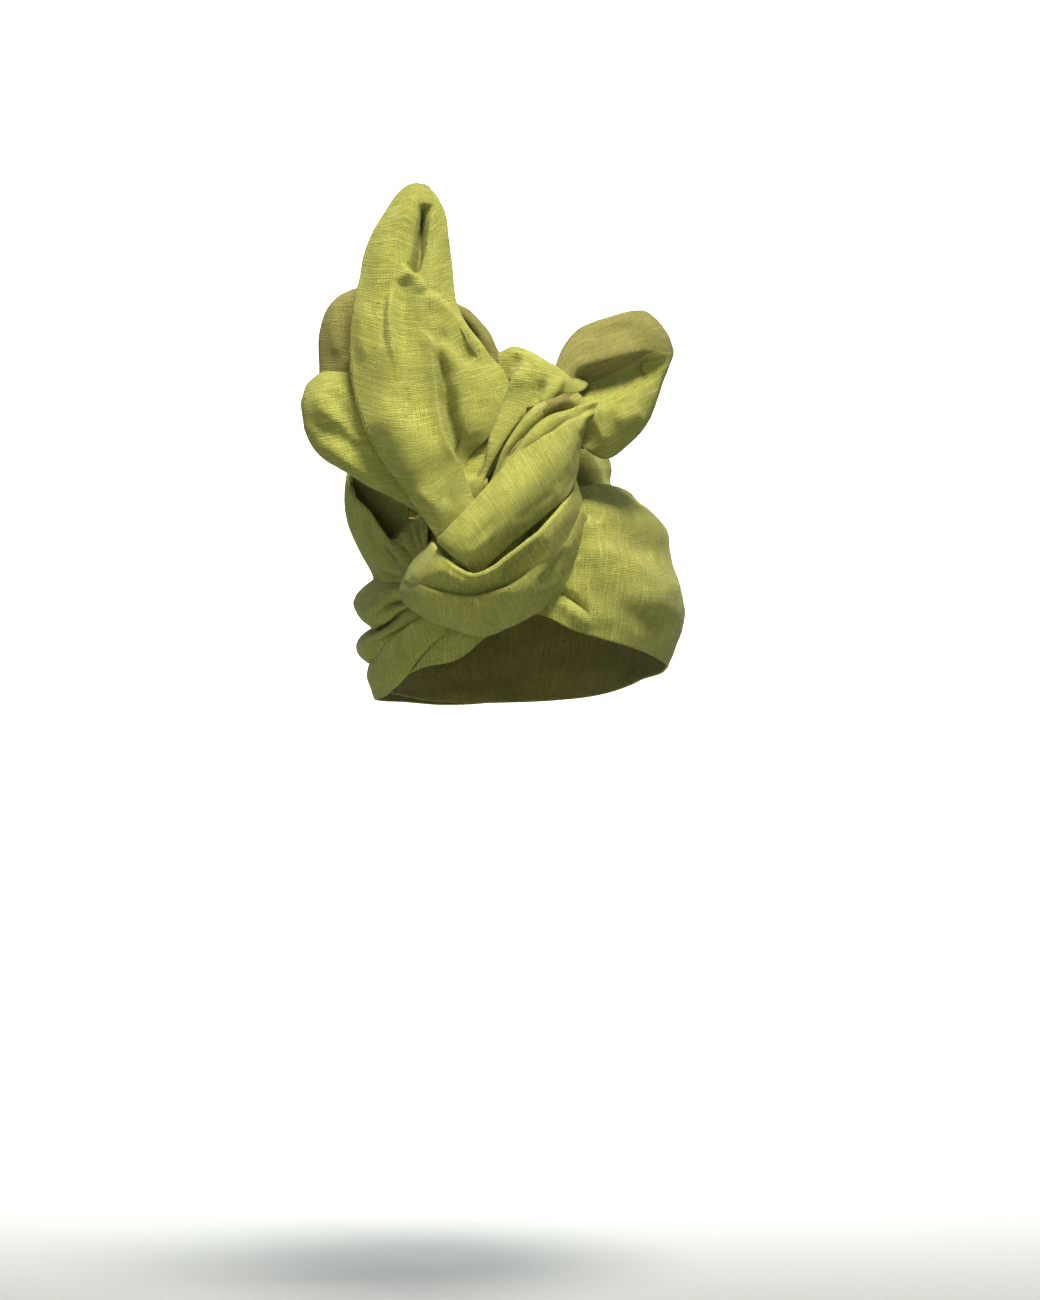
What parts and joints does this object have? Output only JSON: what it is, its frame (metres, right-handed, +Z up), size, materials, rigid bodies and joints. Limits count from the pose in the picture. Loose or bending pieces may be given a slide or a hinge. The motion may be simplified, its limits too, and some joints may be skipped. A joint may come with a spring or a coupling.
{
  "type": "turban headwrap",
  "caption": "Linen turban headwrap with a twisted front knot, a tall folded leaf, a side loop and a pleated band, open below for the head.",
  "frame": {"origin": "middle of the head's opening, at the brow", "axes": "+X towards the wearer's left, +Y towards the back of the head, +Z up"},
  "size_m": [0.2116, 0.254, 0.2852],
  "materials": {
    "linen": "matte slubby plain weave"
  },
  "bodies": {
    "root": {"head_band_right": "linen", "head_band_left": "linen", "crown": "linen", "brow_strip": "linen", "side_pleat_upper": "linen", "side_pleat_lower": "linen", "upper_wrap": "linen", "knot_core": "linen", "knot_lower_wrap": "linen", "knot_middle_wrap": "linen", "knot_top_wrap": "linen", "side_loop": "linen", "leaf_front": "linen", "centre_fan": "linen", "leaf_return": "linen", "back_lobe": "linen", "pocket_fold": "linen"}
  },
  "joints": []
}
